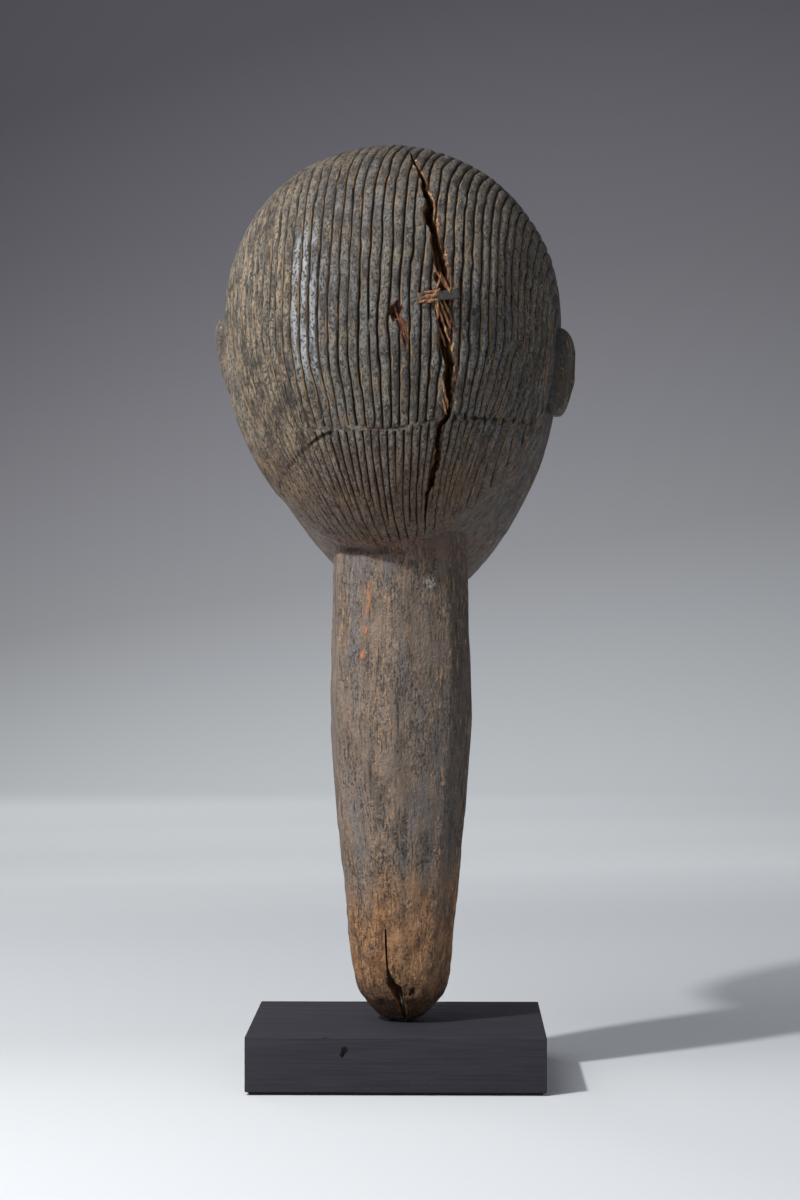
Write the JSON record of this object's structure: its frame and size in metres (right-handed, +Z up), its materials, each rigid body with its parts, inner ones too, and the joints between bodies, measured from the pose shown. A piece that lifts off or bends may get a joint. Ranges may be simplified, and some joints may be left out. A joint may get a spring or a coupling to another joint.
{
  "type": "carved doll head on a plinth",
  "caption": "Egg-shaped carved wooden doll head with combed hair and small ears on a long peg-like neck, lifted off a rod that stands in a black rectangular wooden plinth.",
  "frame": {"origin": "middle of the underside of the plinth's felt, on the surface it stands on", "axes": "+Z up along the neck; -Y is the back of the head and the plinth's front as shown; +X to the right seen from the back of the head"},
  "size_m": [0.1568, 0.1729, 0.4005],
  "materials": {
    "carved_wood": "dark smoked hardwood, dry and worn, paler towards the tip of the neck",
    "forged_iron": "hand-forged iron strap, dark and rusted",
    "black_stained_wood": "black-stained fine-grained wood, satin wax",
    "steel": "zinc-plated steel",
    "felt": "black pressed felt"
  },
  "bodies": {
    "plinth": {"plinth_block": "black_stained_wood", "mount_rod": "steel", "rod_washer": "steel", "rod_nut": "steel", "underside_felt": "felt"},
    "doll": {"doll_carving": "carved_wood", "repair_staple": "forged_iron"}
  },
  "joints": [
    {"name": "doll_lift", "type": "slide", "parent": "plinth", "child": "doll", "axis": [0, 0, 1], "range_m": [0, 0.065]}
  ]
}
